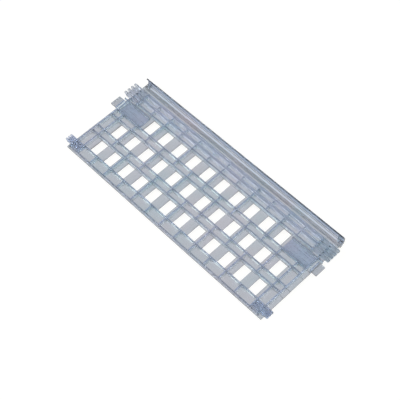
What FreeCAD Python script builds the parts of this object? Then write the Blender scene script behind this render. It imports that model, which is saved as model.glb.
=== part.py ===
"""Clip-in lattice rack panel: one clear moulding, built from its structural members.

Frame: X runs along the panel, Y across it towards the curved lip, Z up.  The origin is at the
middle of the bounding box, on the plane of the channel's underside.  Millimetres.

The deck is a flat plate pierced by three rows of windows.  Every member of the moulding is a
sub-part of its own: the strips and slats of the deck, the upright ribs that stand on it, the
channel with its bowed lip, the two pads with their tongues, and the stacks of clip plates at the
corners.  Members meet face to face.
"""

import FreeCAD, Part
import Sketcher
import os
from FreeCAD import Placement, Rotation, Vector

# Driving dimensions: alias, value, meaning
SIZES = [
    ("column_pitch", 24.0, "from window to window along X"),
    ("row_pitch", 31.8, "from window row to window row along Y"),
    ("middle_row_y", -10.55, "centre line of the middle row of windows"),
    ("window_width", 11.8, "window opening along X"),
    ("window_length", 20.8, "window opening along Y"),
    ("deck_length", 323.0, "deck plate along X"),
    ("overall_width", 133.95, "from the near edge to the crest of the lip"),
    ("deck_top", 7.0, "top of the deck above the channel's underside"),
    ("plate_t", 2.0, "deck plate thickness"),
    ("rib_t", 1.8, "thickness of ribs, walls and clip plates"),
    ("rib_height", 6.0, "ribs above the deck"),
    ("near_wall_height", 6.0, "near wall above the deck"),
    ("inner_end_rib_x", 144.3, "centre of the inner end ribs"),
    ("outer_end_rib_x", 155.9, "centre of the outer end ribs"),
    ("ridge_t", 4.3, "thickness of the two ridges in the far strip"),
    ("ridge_start", 7.5, "from the far row's far edge to the first ridge"),
    ("ridge_pitch", 8.6, "from ridge to ridge"),
    ("channel_near_y", 59.25, "near face of the channel beneath the lip"),
    ("channel_floor_width", 1.0, "flat floor of the channel along Y"),
    ("lip_height", 17.4, "top of the lip above the channel's underside"),
    ("lip_lean", 2.8, "from the foot of the lip's outer face to its top along Y"),
    ("lip_bow", 3.4, "bow of the lip's outer face"),
    ("lip_inner_bow", 2.6, "bow of the lip's inner face"),
    ("end_wall_foot", 1.2, "from the channel to the foot of the end walls above the deck"),
    ("end_wall_rise", 9.0, "end walls above the deck"),
    ("pad_inner_x", 118.0, "inner end of the pads"),
    ("pad_width", 16.5, "pads along Y"),
    ("pad_height", 1.2, "pads above the deck"),
    ("pad_rib_height", 4.1, "ribs beside the pads, and the tongues, above the deck"),
    ("spur_reach_x", 163.2, "outer end of the ribs beside the pads"),
    ("tongue_width", 14.6, "tongues along Y"),
    ("tongue_reach_x", 169.6, "outer end of the tongues"),
    ("tongue_rim", 1.6, "rim around the tray in each tongue"),
    ("tongue_tray", 0.8, "depth of the tray in each tongue"),
    ("far_clip_reach_x", 168.6, "tips of the far clip plates"),
    ("far_clip_near_y", 32.55, "near face of the first far clip plate"),
    ("far_clip_pitch", 5.3, "from far clip plate to far clip plate"),
    ("far_clip_height", 9.6, "far clip plates above the deck"),
    ("far_arm_foot", 3.0, "underside of the far clip plates' arms above the deck"),
    ("far_tab_reach_x", 166.8, "outer end of the tabs under the far clip plates' arms"),
    ("near_clip_reach_x", 167.8, "tips of the near clip plates"),
    ("near_clip_near_y", -62.75, "near face of the first near clip plate"),
    ("near_clip_pitch", 3.5, "from near clip plate to near clip plate"),
    ("near_clip_height", 7.2, "near clip plates above the deck"),
    ("near_arm_foot", 2.8, "underside of the near clip plates' arms above the deck"),
    ("near_tab_reach_x", 166.4, "outer end of the tabs under the near clip plates' arms"),
]

STATIONS = range(-5, 6)  # the slats between the twelve window columns, in column pitches
FAR_ROW_STATIONS = range(-4, 5)  # the far row lacks its first and last window
ROWS = (-1, 0, 1)  # near, middle and far row of windows
FAR_CLIP_PLATES = 4
NEAR_CLIP_PLATES = 3

doc = FreeCAD.newDocument("LatticeRackPanel")
sheet = doc.addObject("Spreadsheet::Sheet", "Sizes")
for line, (alias, value, meaning) in enumerate(SIZES, start=1):
    sheet.set(f"A{line}", str(value))
    sheet.setAlias(f"A{line}", alias)
    sheet.set(f"B{line}", meaning)
doc.recompute()

nodes = []


# ---- Expressions -------------------------------------------------------------------------

def cell(alias):
    """A cell of the sheet, as an expression names it."""
    return f"Sizes.{alias}"


def plus(a, b):
    return f"({a} + {b})"


def less(a, b):
    return f"({a} - {b})"


def negative(a):
    return f"(-1 * {a})"


def half(a):
    return f"({a} / 2)"


def about(middle, thickness):
    """Both faces of something of this thickness about a middle line."""
    return less(middle, half(thickness)), plus(middle, half(thickness))


def row_edges(row):
    """Near and far edge of a row of windows."""
    middle = f"({cell('middle_row_y')} + {row} * {cell('row_pitch')})"
    return about(middle, cell("window_length"))


# Heights
DECK_TOP = cell("deck_top")
DECK_LOW = less(DECK_TOP, cell("plate_t"))
RIB_TOP = plus(DECK_TOP, cell("rib_height"))
IN_DECK = (DECK_LOW, DECK_TOP)
ON_DECK = (DECK_TOP, RIB_TOP)

# Spans across the panel, from the near edge to the lip
RIB_T = cell("rib_t")
NEAR_EDGE = negative(half(cell("overall_width")))
CHANNEL_WALL = (cell("channel_near_y"), plus(cell("channel_near_y"), RIB_T))
LIP_FOOT = plus(CHANNEL_WALL[1], cell("channel_floor_width"))
LIP_TOP = plus(LIP_FOOT, cell("lip_lean"))
NEAR_WALL = (NEAR_EDGE, plus(NEAR_EDGE, RIB_T))
NEAR_ROW, MIDDLE_ROW, FAR_ROW = (row_edges(row) for row in ROWS)
WINDOW_ROWS = (
    ("near", NEAR_ROW, STATIONS),
    ("middle", MIDDLE_ROW, STATIONS),
    ("far", FAR_ROW, FAR_ROW_STATIONS),
)
NEAR_RIB = (less(NEAR_ROW[0], RIB_T), NEAR_ROW[0])
NEAR_BAND = (NEAR_ROW[1], MIDDLE_ROW[0])
FAR_BAND = (MIDDLE_ROW[1], FAR_ROW[0])
BAND_RIBS = [
    (side, (band[0], plus(band[0], RIB_T)), (less(band[1], RIB_T), band[1]))
    for side, band in (("near", NEAR_BAND), ("far", FAR_BAND))
]
FAR_RIB = (FAR_ROW[1], plus(FAR_ROW[1], RIB_T))
FIRST_RIDGE_NEAR = plus(FAR_ROW[1], cell("ridge_start"))
SECOND_RIDGE_NEAR = plus(FIRST_RIDGE_NEAR, cell("ridge_pitch"))
FIRST_RIDGE = (FIRST_RIDGE_NEAR, plus(FIRST_RIDGE_NEAR, cell("ridge_t")))
SECOND_RIDGE = (SECOND_RIDGE_NEAR, plus(SECOND_RIDGE_NEAR, cell("ridge_t")))
PAD = (FAR_ROW[0], plus(FAR_ROW[0], cell("pad_width")))
PAD_RIB = (PAD[1], plus(PAD[1], RIB_T))
TONGUE = (FAR_ROW[0], plus(FAR_ROW[0], cell("tongue_width")))

# Spans along the panel, on its right-hand side
DECK_END = half(cell("deck_length"))
WHOLE_DECK = (negative(DECK_END), DECK_END)
INNER_END_RIB = about(cell("inner_end_rib_x"), RIB_T)
OUTER_END_RIB = about(cell("outer_end_rib_x"), RIB_T)
BETWEEN_INNER_RIBS = (negative(INNER_END_RIB[0]), INNER_END_RIB[0])
BETWEEN_OUTER_RIBS = (negative(OUTER_END_RIB[0]), OUTER_END_RIB[0])
TO_OUTER_RIBS = (negative(OUTER_END_RIB[1]), OUTER_END_RIB[1])


def slat_span(station):
    """The slat between two windows, along X."""
    return about(f"({station} * {cell('column_pitch')})", less(cell("column_pitch"), cell("window_width")))


def clip_spans(near_y, pitch, count):
    """Faces of a stack of clip plates, across the panel."""
    nears = [f"({cell(near_y)} + {k} * {cell(pitch)})" for k in range(count)]
    return [(near, plus(near, RIB_T)) for near in nears]


FAR_CLIPS = clip_spans("far_clip_near_y", "far_clip_pitch", FAR_CLIP_PLATES)
NEAR_CLIPS = clip_spans("near_clip_near_y", "near_clip_pitch", NEAR_CLIP_PLATES)


def gaps(start, members, end):
    """The spans left free between members that stand in a row."""
    nears = [start] + [member[1] for member in members]
    fars = [member[0] for member in members] + [end]
    return list(zip(nears, fars))


# ---- Solids and sub-parts ----------------------------------------------------------------

def box(name, x, y, z):
    """A box between pairs of expressions."""
    solid = doc.addObject("Part::Box", name)
    for size, span in (("Length", x), ("Width", y), ("Height", z)):
        solid.setExpression(size, less(span[1], span[0]))
    for axis, span in (("x", x), ("y", y), ("z", z)):
        solid.setExpression(f"Placement.Base.{axis}", span[0])
    return solid


def node(solid, label):
    """Names a sub-part and keeps it for the checks and the export."""
    solid.Label = label
    nodes.append(solid)
    return solid


def box_node(label, x, y, z):
    return node(box(label, x, y, z), label)


def group_node(label, members):
    """A sub-part that is a group of separate solids."""
    group = doc.addObject("Part::Compound", label)
    group.Links = members
    return node(group, label)


def mirror_node(label, source):
    """A sub-part on the left that mirrors one on the right."""
    mirror = doc.addObject("Part::Mirroring", label)
    mirror.Source = source
    mirror.Normal = Vector(1, 0, 0)
    return node(mirror, label)


def cut_node(label, base, tool):
    """A sub-part trimmed to fit another one."""
    trimmed = doc.addObject("Part::Cut", label)
    trimmed.Base = base
    trimmed.Tool = tool
    return node(trimmed, label)


def slice_node(label, base, y, z):
    """The part of a blank that lies within a band of heights, as a sub-part."""
    level = doc.addObject("Part::Common", label)
    level.Base = base
    level.Tool = box(f"{label}_level", WHOLE_DECK, y, z)
    return node(level, label)


def sketch_in(body, plane_role):
    """An empty sketch on one of a body's own origin planes."""
    sketch = body.newObject("Sketcher::SketchObject", body.Name + "_outline")
    plane = [f for f in body.Origin.OriginFeatures if f.Role == plane_role][0]
    sketch.AttachmentSupport = (plane, [""])
    sketch.MapMode = "FlatFace"
    return sketch


def number(expression):
    """The value of an expression, in millimetres."""
    return float(sheet.evalExpression(expression))


def point(corner):
    return Vector(number(corner[0]), number(corner[1]), 0)


def hold(sketch, geometry, end, corner):
    """Holds one end of a sketch line or arc at a corner given by two expressions."""
    for kind, expression in zip(("DistanceX", "DistanceY"), corner):
        distance = Sketcher.Constraint(kind, -1, 1, geometry, end, number(expression))
        index = sketch.addConstraint(distance)
        sketch.setExpression(f"Constraints[{index}]", expression)


def line_side(sketch, start, end):
    """A straight side of an outline."""
    side = sketch.addGeometry(Part.LineSegment(point(start), point(end)), False)
    hold(sketch, side, 1, start)
    hold(sketch, side, 2, end)


def bowed_side(sketch, low, high, bow):
    """An arc from a low corner to a high one that bows outwards, towards +Y."""
    chord = point(high) - point(low)
    outwards = Vector(chord.y, -chord.x, 0).normalize()
    middle = (point(low) + point(high)) / 2 + outwards * number(bow)
    side = sketch.addGeometry(Part.Arc(point(low), middle, point(high)), False)
    hold(sketch, side, 1, low)
    hold(sketch, side, 2, high)
    chord_squared = " + ".join(f"{less(h, l)} ^ 2" for l, h in zip(low, high))
    radius = f"(({chord_squared}) / (8 * {bow}) + {bow} / 2)"
    index = sketch.addConstraint(Sketcher.Constraint("Radius", side, number(radius)))
    sketch.setExpression(f"Constraints[{index}]", radius)


def new_body(name):
    """A PartDesign body with an empty outline across the panel, in the YZ plane."""
    body = doc.addObject("PartDesign::Body", name)
    return body, sketch_in(body, "YZ_Plane")


def extrude(body, outline, length):
    """Pads a finished outline along X, half the length each way."""
    pad = body.newObject("PartDesign::Pad", body.Name + "_pad")
    pad.Profile = outline
    pad.SideType = "Symmetric"
    pad.setExpression("Length", length)
    doc.recompute()


# ---- The members of the moulding ---------------------------------------------------------

def make_lip():
    """The channel along the far edge, and the bowed lip that rises from its floor.

    The lip is in three levels: below the deck, level with it and above it.  Returns the whole
    lip, which the members that run up to it are trimmed by.
    """
    top = cell("lip_height")
    outer = ((LIP_FOOT, "0"), (LIP_TOP, top))
    inner = ((LIP_FOOT, RIB_T), (less(LIP_TOP, RIB_T), top))
    body, outline = new_body("lip_blank")
    bowed_side(outline, *outer, cell("lip_bow"))
    bowed_side(outline, *inner, cell("lip_inner_bow"))
    for low_or_high in (0, 1):
        line_side(outline, inner[low_or_high], outer[low_or_high])
    extrude(body, outline, cell("deck_length"))
    whole_lip = (LIP_FOOT, half(cell("overall_width")))
    slice_node("far_lip_skirt", body, whole_lip, ("0", DECK_LOW))
    slice_node("far_lip_root", body, whole_lip, IN_DECK)
    slice_node("far_lip_wall", body, whole_lip, (DECK_TOP, top))
    box_node("channel_near_wall", WHOLE_DECK, CHANNEL_WALL, ("0", DECK_LOW))
    box_node("channel_floor", WHOLE_DECK, (CHANNEL_WALL[1], LIP_FOOT), ("0", RIB_T))
    return body


def make_deck():
    """The strips, slats and end panels of the plate, with the windows left between them."""
    box_node("near_edge_strip", WHOLE_DECK, (NEAR_EDGE, NEAR_ROW[0]), IN_DECK)
    box_node("near_band", WHOLE_DECK, NEAR_BAND, IN_DECK)
    box_node("far_band", WHOLE_DECK, FAR_BAND, IN_DECK)
    box_node("far_strip", WHOLE_DECK, (FAR_ROW[1], CHANNEL_WALL[1]), IN_DECK)
    panels = []
    for row_name, row, stations in WINDOW_ROWS:
        slats = [
            box(f"{row_name}_slat_{count}", slat_span(station), row, IN_DECK)
            for count, station in enumerate(stations, start=1)
        ]
        group_node(f"{row_name}_row_slats", slats)
        past_last_window = slat_span(stations.stop)[0]
        panels.append(box(f"{row_name}_end_panel", (past_last_window, DECK_END), row, IN_DECK))
    mirror_node("left_end_panels", group_node("right_end_panels", panels))


def make_long_ribs():
    """The ribs that run along the panel, the near wall and the two ridges."""
    wall_top = plus(DECK_TOP, cell("near_wall_height"))
    box_node("near_wall", TO_OUTER_RIBS, NEAR_WALL, (DECK_TOP, wall_top))
    box_node("near_rib", BETWEEN_INNER_RIBS, NEAR_RIB, ON_DECK)
    for side, near_rib, far_rib in BAND_RIBS:
        box_node(f"{side}_band_near_rib", BETWEEN_OUTER_RIBS, near_rib, ON_DECK)
        box_node(f"{side}_band_far_rib", BETWEEN_OUTER_RIBS, far_rib, ON_DECK)
    box_node("far_rib", BETWEEN_INNER_RIBS, FAR_RIB, ON_DECK)
    box_node("first_ridge", BETWEEN_INNER_RIBS, FIRST_RIDGE, ON_DECK)
    box_node("second_ridge", BETWEEN_INNER_RIBS, SECOND_RIDGE, ON_DECK)


def band_gaps():
    """The spans inside the two bands, between their ribs."""
    return [(near_rib[1], far_rib[0]) for _, near_rib, far_rib in BAND_RIBS]


def make_cross_ribs():
    """One rib across the panel at every slat, in pieces between the ribs that run along it.

    Within the windows' rows they stand only on every other slat, like the squares of a
    chessboard: even stations in the near and far rows, odd ones in the middle row.
    """
    for count, station in enumerate(STATIONS, start=1):
        spans = [(NEAR_WALL[1], NEAR_RIB[0])] + band_gaps()
        spans += [(FAR_RIB[1], FIRST_RIDGE[0]), (FIRST_RIDGE[1], SECOND_RIDGE[0])]
        if station % 2 == 0:
            spans += [NEAR_ROW, FAR_ROW]
        else:
            spans += [MIDDLE_ROW]
        label = f"cross_rib_{count:02d}"
        x = about(f"({station} * {cell('column_pitch')})", RIB_T)
        group_node(label, [box(f"{label}_{k}", x, y, ON_DECK) for k, y in enumerate(spans)])


def make_end_ribs():
    """The two ribs across each end of the panel."""
    band_ribs = [rib for _, near_rib, far_rib in BAND_RIBS for rib in (near_rib, far_rib)]
    rib_and_pad = (band_ribs.pop()[0], PAD_RIB[1])
    inner = gaps(NEAR_WALL[1], band_ribs + [rib_and_pad], SECOND_RIDGE[1])
    outer = gaps(NEAR_WALL[1], NEAR_CLIPS + [PAD_RIB] + FAR_CLIPS[:-1], FAR_CLIPS[-1][0])
    for name, x, spans in (("inner", INNER_END_RIB, inner), ("outer", OUTER_END_RIB, outer)):
        label = f"right_{name}_end_rib"
        rib = group_node(label, [box(f"{label}_{k}", x, y, ON_DECK) for k, y in enumerate(spans)])
        mirror_node(f"left_{name}_end_rib", rib)


def make_channel_ends(lip):
    """The wall across each end of the channel, which braces the lip, and the corner plates.

    Both run into the thickness of the lip and are trimmed by it.
    """
    outside = CHANNEL_WALL[1]
    low_inside, inside = plus(LIP_FOOT, half(RIB_T)), plus(LIP_FOOT, cell("lip_bow"))
    foot = plus(cell("channel_near_y"), cell("end_wall_foot"))
    top = plus(DECK_TOP, cell("end_wall_rise"))
    corners = [
        (outside, RIB_T), (low_inside, RIB_T), (inside, DECK_LOW), (inside, top),
        (less(LIP_TOP, RIB_T), top), (foot, DECK_TOP), (outside, DECK_TOP),
    ]
    body, outline = new_body("end_wall_blank")
    for start, end in zip(corners, corners[1:] + corners[:1]):
        line_side(outline, start, end)
    extrude(body, outline, RIB_T)
    body.setExpression("Placement.Base.x", cell("outer_end_rib_x"))
    mirror_node("left_channel_end_wall", cut_node("right_channel_end_wall", body, lip))
    plate = box("corner_plate_blank", (OUTER_END_RIB[1], DECK_END), (outside, inside), IN_DECK)
    mirror_node("left_corner_plate", cut_node("right_corner_plate", plate, lip))


def make_pads():
    """The low pads in the far row's ends, the ribs beside them and the tongues."""
    inner_end = cell("pad_inner_x")
    pad_top = plus(DECK_TOP, cell("pad_height"))
    rib_top = plus(DECK_TOP, cell("pad_rib_height"))
    pad = box_node("right_pad", (inner_end, OUTER_END_RIB[0]), PAD, (DECK_TOP, pad_top))
    mirror_node("left_pad", pad)
    pad_rib = box_node("right_pad_rib", (inner_end, cell("spur_reach_x")), PAD_RIB, (DECK_TOP, rib_top))
    mirror_node("left_pad_rib", pad_rib)
    riser_x = (less(DECK_END, RIB_T), DECK_END)
    riser = box_node("right_tongue_riser", riser_x, TONGUE, (DECK_TOP, rib_top))
    mirror_node("left_tongue_riser", riser)
    mirror_node("left_tongue", make_tongue(rib_top))


def make_tongue(top):
    """A plate that reaches out past the deck from the riser, with a shallow tray in its top."""
    tip, rim = cell("tongue_reach_x"), cell("tongue_rim")
    blank = box("tongue_blank", (DECK_END, tip), TONGUE, (less(top, cell("plate_t")), top))
    tray_x = (plus(DECK_END, rim), less(tip, rim))
    tray_y = (plus(TONGUE[0], rim), less(TONGUE[1], rim))
    tray = box("tongue_tray_space", tray_x, tray_y, (less(top, cell("tongue_tray")), top))
    return cut_node("right_tongue", blank, tray)


def clip_plate(name, y, reach, height, arm_foot):
    """An upright plate on the deck, with an arm that reaches past the deck to a round end."""
    top = plus(DECK_TOP, height)
    foot = plus(DECK_TOP, arm_foot)
    tip_radius = half(less(height, arm_foot))
    shoulder = less(reach, tip_radius)
    flat = box(f"{name}_flat", (INNER_END_RIB[1], DECK_END), y, (DECK_TOP, top))
    arm = box(f"{name}_arm", (DECK_END, shoulder), y, (foot, top))
    tip = doc.addObject("Part::Cylinder", f"{name}_tip")
    tip.Placement = Placement(Vector(), Rotation(Vector(1, 0, 0), -90))
    tip.setExpression("Radius", tip_radius)
    tip.setExpression("Height", RIB_T)
    tip.setExpression("Placement.Base.x", shoulder)
    tip.setExpression("Placement.Base.y", y[0])
    tip.setExpression("Placement.Base.z", plus(foot, tip_radius))
    plate = doc.addObject("Part::MultiFuse", name)
    plate.Shapes = [flat, arm, tip]
    plate.Refine = True
    return plate


def make_clips():
    """The stacks of thin clip plates at the four corners, and the tab under each stack's arms."""
    for side, spans in (("far", FAR_CLIPS), ("near", NEAR_CLIPS)):
        sizes = [cell(f"{side}_{size}") for size in ("clip_reach_x", "clip_height", "arm_foot")]
        plates = [clip_plate(f"{side}_clip_{k}", y, *sizes) for k, y in enumerate(spans)]
        mirror_node(f"left_{side}_clip_plates", group_node(f"right_{side}_clip_plates", plates))
        tab_top = plus(DECK_TOP, cell(f"{side}_arm_foot"))
        tab_x = (DECK_END, cell(f"{side}_tab_reach_x"))
        tab_y = (spans[0][0], spans[-1][1])
        tab = box_node(f"right_{side}_clip_tab", tab_x, tab_y, (less(tab_top, RIB_T), tab_top))
        mirror_node(f"left_{side}_clip_tab", tab)


def check_and_export():
    """Stops on any failed object, then writes one STEP file for each sub-part."""
    doc.recompute()
    for item in doc.Objects:
        if "Invalid" in item.State or "Error" in item.State:
            raise RuntimeError(f"{item.Name} failed: {item.State}")
    os.makedirs("parts", exist_ok=True)
    for item in nodes:
        if item.Shape.isNull() or not item.Shape.isValid():
            raise RuntimeError(f"{item.Label} has no valid shape")
    for item in nodes:
        item.Shape.exportStep(f"parts/{item.Label}.step")
        print(f"{item.Label}: {len(item.Shape.Solids)} solids, {item.Shape.Volume:.0f} mm3")


lip = make_lip()
make_deck()
make_long_ribs()
make_cross_ribs()
make_end_ribs()
make_channel_ends(lip)
make_pads()
make_clips()
check_and_export()
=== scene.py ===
"""Clear blue-tinted lattice rack panel on a bright white table, in soft studio light.

Every piece is a CAD node.  This script rounds the moulded edges, opens hairline gaps between
members that touch, and gives each kind of member its own copy of one translucent blue plastic, with
painted shade and painted light that make some kinds darker and others lighter, and painted light that
brightens upright faces.
"""

import math

import bpy
from mathutils import Matrix, Vector

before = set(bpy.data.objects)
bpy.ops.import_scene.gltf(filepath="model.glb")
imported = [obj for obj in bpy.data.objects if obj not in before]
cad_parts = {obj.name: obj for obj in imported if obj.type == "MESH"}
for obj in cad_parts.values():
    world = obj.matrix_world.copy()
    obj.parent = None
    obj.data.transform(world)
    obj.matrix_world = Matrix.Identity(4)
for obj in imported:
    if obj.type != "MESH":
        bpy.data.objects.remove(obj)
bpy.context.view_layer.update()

MM = 0.001

# ---- View ----------------------------------------------------------------------------------
# The angles are turned from a view along +Y; the camera is far away and long in the lens.
CAMERA_AIM = Vector((7.4 * MM, -8.35 * MM, 7.0 * MM))
CAMERA_AZIMUTH = 50.6
CAMERA_ELEVATION = 57.95
CAMERA_ROLL = -5.36
CAMERA_DISTANCE = 1.1477
LENS_MM = 89.96
SENSOR_MM = 36.0

# ---- Light ---------------------------------------------------------------------------------
TABLE_DROP = 0.1 * MM
TABLE_REACH = 6.0
TABLE_WHITE = (0.12, 0.12, 0.12, 1.0)
TABLE_GLOW = (1.0, 1.0, 0.985, 1.0)
GLOW_STRENGTH = 0.93
SKY = (0.95, 0.97, 1.0, 1.0)
SKY_STRENGTH = 0.35
# Each light: place, side in metres, watts.
LIGHTS = {
    "key": ((-0.7, -1.1, 1.2), 0.9, 14.0),
    "overhead": ((1.0, 0.6, 1.3), 1.0, 8.0),
}

# ---- Moulding ------------------------------------------------------------------------------
EDGE_ROUND = 0.3 * MM
HAIRLINE_GAP = 0.01 * MM
WELD = 0.001 * MM
SHARP_ANGLE = math.radians(35)
DECK_END = 161.5 * MM
TIP_FADE = 2.0 * MM
BEVEL_SEGMENTS = 2
FACE_WEIGHT = 100

# ---- Plastics ------------------------------------------------------------------------------
# Noise scales are in patches to the metre: the tint drifts slowly, the flow lines run along the
# panel, and the orange peel and the grain are fine.
DRIFT_SCALE = 28.0
FLOW_SCALES = (30.0, 700.0, 700.0)
PEEL_SCALE = 420.0
GRAIN_SCALE = 400.0
GRAIN_SHADE = 0.2
BUMP_HEIGHT = 0.1 * MM
NOISE_LOW = 0.3
NOISE_HIGH = 0.7
# Normal heights over which the painted light on upright faces fades out towards the tops.
SIDE_HEIGHT = 0.3
TOP_HEIGHT = 0.8
ROUGHNESS_LOW = 0.6
ROUGHNESS_HIGH = 1.5

# Each plastic: how light it is, which is partly the plastic's own tint and partly painted shade and
# painted light, since every kind is the same clear blue plastic painted darker or lighter by kind;
# how much bluer than grey (blueness), the shader's transmission, roughness and refraction (ior), the
# density of the blue inside, the strength of its flow lines (bump), how much painted light brightens
# its upright faces, and for some a grain or a shade of the clips' tips.  BLUE is the colour inside,
# and PINK_DRIFT how far the red drifts.
BLUE = (0.62, 0.74, 0.88)
PINK_DRIFT = 0.05
# Painted shade and light: the shades below paint one plastic lighter or darker by kind of member,
# standing in for how light passes through each kind.
PLASTICS = {
    "deck": dict(
        tone_and_painted_shade=0.55, blueness=0.10,
        transmission=0.95, roughness=0.12, density=20.0, bump=0.1, painted_side_light=1.0, ior=1.5,
    ),
    "long_rib": dict(
        tone_and_painted_shade=0.60, blueness=0.25,
        transmission=0.88, roughness=0.2, density=10.0, bump=0.02, painted_side_light=1.7, ior=1.5,
    ),
    "cross_rib": dict(
        tone_and_painted_shade=0.75, blueness=0.25,
        transmission=0.88, roughness=0.2, density=6.0, bump=0.02, painted_side_light=1.4, ior=1.5,
    ),
    "near_wall": dict(
        tone_and_painted_shade=0.55, blueness=0.20,
        transmission=0.85, roughness=0.2, density=15.0, bump=0.03, painted_side_light=1.0, ior=1.5,
    ),
    "ridge": dict(
        tone_and_painted_shade=0.65, blueness=0.20,
        transmission=0.75, roughness=0.2, density=5.0, bump=0.03, painted_side_light=2.2, ior=1.5,
    ),
    "lip": dict(
        tone_and_painted_shade=0.20, blueness=0.30,
        transmission=0.92, roughness=0.12, density=8.0, bump=0.02, painted_side_light=2.2, ior=1.5,
    ),
    "channel": dict(
        tone_and_painted_shade=0.65, blueness=0.15,
        transmission=0.95, roughness=0.12, density=10.0, bump=0.02, painted_side_light=1.0, ior=1.5,
    ),
    "clear": dict(
        tone_and_painted_shade=0.95, blueness=0.02,
        transmission=0.97, roughness=0.12, density=1.0, bump=0.02, painted_side_light=1.0, ior=1.5,
    ),
    "near_clip": dict(
        tone_and_painted_shade=0.80, blueness=0.20,
        transmission=0.85, roughness=0.35, density=5.0, bump=0.02, painted_side_light=1.0, ior=1.25, tip_shade=0.8,
    ),
    "far_clip": dict(
        tone_and_painted_shade=0.90, blueness=0.10,
        transmission=0.92, roughness=0.35, density=3.0, bump=0.02, painted_side_light=1.0, ior=1.2, tip_shade=0.7,
    ),
    "tongue": dict(
        tone_and_painted_shade=0.55, blueness=0.10,
        transmission=0.8, roughness=0.14, density=15.0, bump=0.1, painted_side_light=1.0, ior=1.5,
    ),
    "pad": dict(
        tone_and_painted_shade=0.75, blueness=0.20,
        transmission=0.75, roughness=0.35, density=10.0, bump=0.02, painted_side_light=1.0, ior=1.5, grain=0.8,
    ),
}

# The first of these that a node's name contains gives its plastic.
PLASTIC_OF = {
    "channel_near_wall": "clear",
    "near_wall": "near_wall",
    "channel_floor": "clear",
    "lip_skirt": "channel",
    "lip_root": "channel",
    "far_lip": "lip",
    "near_clip": "near_clip",
    "far_clip": "far_clip",
    "riser": "cross_rib",
    "tongue": "tongue",
    "end_wall": "cross_rib",
    "cross_rib": "cross_rib",
    "end_rib": "cross_rib",
    "ridge": "ridge",
    "rib": "long_rib",
    "_pad": "pad",
}


def plastic_of(node):
    """Which plastic a member of the moulding is given: the deck's, unless its name says more."""
    return next((plastic for part, plastic in PLASTIC_OF.items() if part in node), "deck")


def round_edges(node):
    """Rounds the edges of a member and draws its faces in by half the hairline gap."""
    if "custom_normal" in node.data.attributes:
        node.data.attributes.remove(node.data.attributes["custom_normal"])
    node.data.shade_smooth()
    weld = node.modifiers.new("weld", "WELD")
    weld.merge_threshold = WELD
    bevel = node.modifiers.new("round", "BEVEL")
    bevel.width = EDGE_ROUND
    bevel.segments = BEVEL_SEGMENTS
    bevel.limit_method = "ANGLE"
    bevel.angle_limit = SHARP_ANGLE
    bevel.harden_normals = True
    shrink = node.modifiers.new("gap", "DISPLACE")
    shrink.strength = -HAIRLINE_GAP
    shrink.mid_level = 0
    smooth = node.modifiers.new("smooth", "WEIGHTED_NORMAL")
    smooth.keep_sharp = False
    smooth.weight = FACE_WEIGHT


# ---- Materials -----------------------------------------------------------------------------

class Nodes:
    """A small helper for node trees: makes nodes and joins sockets."""

    def __init__(self, name):
        self.material = bpy.data.materials.new(name)
        self.material.use_nodes = True
        self.tree = self.material.node_tree
        self.tree.nodes.clear()

    def add(self, kind, **inputs):
        made = self.tree.nodes.new(kind)
        for name, value in inputs.items():
            self.put(made.inputs[name.replace("_", " ")], value)
        return made

    def put(self, socket, value):
        if isinstance(value, bpy.types.NodeSocket):
            self.tree.links.new(value, socket)
        else:
            socket.default_value = value


def spread(n, value, low, high):
    """Stretches a noise, which stays near its middle, to run from low to high."""
    ranged = n.add(
        "ShaderNodeMapRange", Value=value, From_Min=NOISE_LOW, From_Max=NOISE_HIGH,
        To_Min=low, To_Max=high,
    )
    return ranged.outputs["Result"]


def blue_tint(tone_and_painted_shade, blueness, drift):
    """A grey of the given shade with more blue and half as much less red, give or take a drift."""
    return (tone_and_painted_shade * (1.0 - blueness / 2 + drift), tone_and_painted_shade, tone_and_painted_shade * (1.0 + blueness), 1.0)


def drifting_tint(n, place, tone_and_painted_shade, blueness):
    """A tint that drifts over some centimetres between a greener and a pinker blue."""
    drift = n.add("ShaderNodeTexNoise", Vector=place, Scale=DRIFT_SCALE, Detail=2.0, Roughness=0.5)
    ramp = n.add("ShaderNodeValToRGB", Fac=spread(n, drift.outputs["Fac"], 0.0, 1.0))
    stops = ramp.color_ramp.elements
    stops.new(0.5)
    for stop, drift_of_stop in zip(stops, (-PINK_DRIFT, 0.0, PINK_DRIFT)):
        # Each stop takes the kind's shade, which holds painted shade and light as well as the
        # plastic's own tint.
        stop.color = blue_tint(tone_and_painted_shade, blueness, drift_of_stop)
    return ramp.outputs["Color"]


def painted_side_light_factor(n, painted_side_light):
    """Painted light: a factor of 1 on faces that look up, and of the given size on the others, which
    paints the upright faces brighter.
    """
    normal = n.add("ShaderNodeNewGeometry").outputs["Normal"]
    height = n.add("ShaderNodeSeparateXYZ", Vector=normal).outputs["Z"]
    factor = n.add(
        "ShaderNodeMapRange", Value=height, From_Min=SIDE_HEIGHT, From_Max=TOP_HEIGHT,
        To_Min=painted_side_light, To_Max=1.0,
    )
    return factor.outputs["Result"]


def shaded_tips(n, place, tip_shade):
    """A factor that falls from 1 over the deck to the given shade past the deck's ends."""
    along = n.add("ShaderNodeSeparateXYZ", Vector=place).outputs["X"]
    from_middle = n.add("ShaderNodeMath", Value=along)
    from_middle.operation = "ABSOLUTE"
    factor = n.add(
        "ShaderNodeMapRange", Value=from_middle.outputs["Value"], From_Min=DECK_END - TIP_FADE,
        From_Max=DECK_END + TIP_FADE, To_Min=1.0, To_Max=tip_shade,
    )
    return factor.outputs["Result"]


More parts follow.
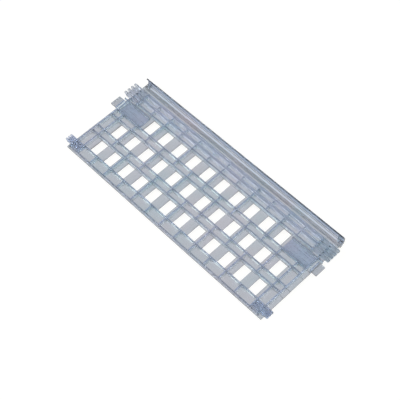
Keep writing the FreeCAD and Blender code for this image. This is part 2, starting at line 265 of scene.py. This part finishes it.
def clear_plastic(
    name, tone_and_painted_shade, blueness, transmission, roughness, density, bump, painted_side_light, ior,
    grain=0.0, tip_shade=1.0,
):
    """Clear moulded plastic: drifting tint, painted light on upright faces, flow lines, faint orange
    peel, blue depth.
    """
    n = Nodes(name)
    place = n.add("ShaderNodeTexCoord").outputs["Object"]
    along = n.add("ShaderNodeMapping", Vector=place, Scale=FLOW_SCALES)
    flow = n.add("ShaderNodeTexNoise", Vector=along.outputs["Vector"], Scale=1.0, Detail=3.0)
    peel = n.add("ShaderNodeTexNoise", Vector=place, Scale=PEEL_SCALE, Detail=2.0)
    peeled = n.add(
        "ShaderNodeBump", Height=peel.outputs["Fac"], Strength=bump, Distance=BUMP_HEIGHT,
    )
    surface = n.add(
        "ShaderNodeBump", Height=flow.outputs["Fac"], Strength=bump, Distance=BUMP_HEIGHT,
        Normal=peeled.outputs["Normal"],
    )
    dimming = shaded_tips(n, place, tip_shade)
    if grain:
        fine = n.add("ShaderNodeTexNoise", Vector=place, Scale=GRAIN_SCALE, Detail=3.0)
        dimming = spread(n, fine.outputs["Fac"], 1.0 - GRAIN_SHADE, 1.0 + GRAIN_SHADE)
        surface = n.add(
            "ShaderNodeBump", Height=fine.outputs["Fac"], Strength=grain, Distance=BUMP_HEIGHT,
            Normal=surface.outputs["Normal"],
        )
    drift = drifting_tint(n, place, tone_and_painted_shade, blueness)
    # Painted light: the base colour of upright faces is multiplied up by the side factor.
    lit = n.add("ShaderNodeHueSaturation", Color=drift, Value=painted_side_light_factor(n, painted_side_light))
    tint = n.add("ShaderNodeHueSaturation", Color=lit.outputs["Color"], Value=dimming)
    shader = n.add(
        "ShaderNodeBsdfPrincipled",
        Base_Color=tint.outputs["Color"],
        Roughness=spread(
            n, flow.outputs["Fac"], ROUGHNESS_LOW * roughness, ROUGHNESS_HIGH * roughness,
        ),
        Normal=surface.outputs["Normal"],
        IOR=ior,
        Transmission_Weight=transmission,
    )
    depth = n.add("ShaderNodeVolumeAbsorption", Color=(*BLUE, 1.0), Density=density)
    n.add("ShaderNodeOutputMaterial", Surface=shader.outputs["BSDF"], Volume=depth.outputs["Volume"])
    return n.material


def paint_nodes():
    plastics = {kind: clear_plastic(f"{kind}_plastic", **look) for kind, look in PLASTICS.items()}
    for name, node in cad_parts.items():
        round_edges(node)
        node.data.materials.clear()
        node.data.materials.append(plastics[plastic_of(name)])


# ---- Stage ---------------------------------------------------------------------------------

def place_object(name, data):
    placed = bpy.data.objects.new(name, data)
    bpy.context.scene.collection.objects.link(placed)
    return placed


def make_table():
    """A bright white table top that glows a little, as a light table does."""
    n = Nodes("white_table")
    shader = n.add("ShaderNodeBsdfPrincipled", Base_Color=TABLE_WHITE, Roughness=0.6)
    n.put(shader.inputs["Emission Color"], TABLE_GLOW)
    n.put(shader.inputs["Emission Strength"], GLOW_STRENGTH)
    n.add("ShaderNodeOutputMaterial", Surface=shader.outputs["BSDF"])
    mesh = bpy.data.meshes.new("table_top")
    signs = ((-1, -1), (1, -1), (1, 1), (-1, 1))
    corners = [(x * TABLE_REACH, y * TABLE_REACH, -TABLE_DROP) for x, y in signs]
    mesh.from_pydata(corners, [], [(0, 1, 2, 3)])
    mesh.materials.append(n.material)
    place_object("table_top", mesh)


def make_light():
    """A dim even room and two large soft lights, the stronger one high at the front left."""
    world = bpy.data.worlds.new("studio")
    bpy.context.scene.world = world
    world.use_nodes = True
    background = world.node_tree.nodes["Background"]
    background.inputs["Color"].default_value = SKY
    background.inputs["Strength"].default_value = SKY_STRENGTH
    for name, (place, side, watts) in LIGHTS.items():
        light = bpy.data.lights.new(name, "AREA")
        light.shape = "SQUARE"
        light.size = side
        light.energy = watts
        lamp = place_object(name, light)
        lamp.location = place
        lamp.rotation_euler = (-Vector(place)).to_track_quat("-Z", "Y").to_euler()


def make_camera():
    """The camera, aimed by azimuth, elevation and roll at a point of the deck."""
    azimuth, elevation, roll = map(math.radians, (CAMERA_AZIMUTH, CAMERA_ELEVATION, CAMERA_ROLL))
    back = Vector((
        math.sin(azimuth) * math.cos(elevation),
        -math.cos(azimuth) * math.cos(elevation),
        math.sin(elevation),
    ))
    level = Vector((0, 0, 1)).cross(back).normalized()
    upright = back.cross(level)
    right = level * math.cos(roll) + upright * math.sin(roll)
    up = back.cross(right)
    data = bpy.data.cameras.new("camera")
    data.lens = LENS_MM
    data.sensor_width = SENSOR_MM
    camera = place_object("camera", data)
    axes = Matrix((right, up, back)).transposed().to_4x4()
    camera.matrix_world = Matrix.Translation(CAMERA_AIM + back * CAMERA_DISTANCE) @ axes
    bpy.context.scene.camera = camera


paint_nodes()
make_table()
make_light()
make_camera()
bpy.context.scene.view_settings.view_transform = "Standard"
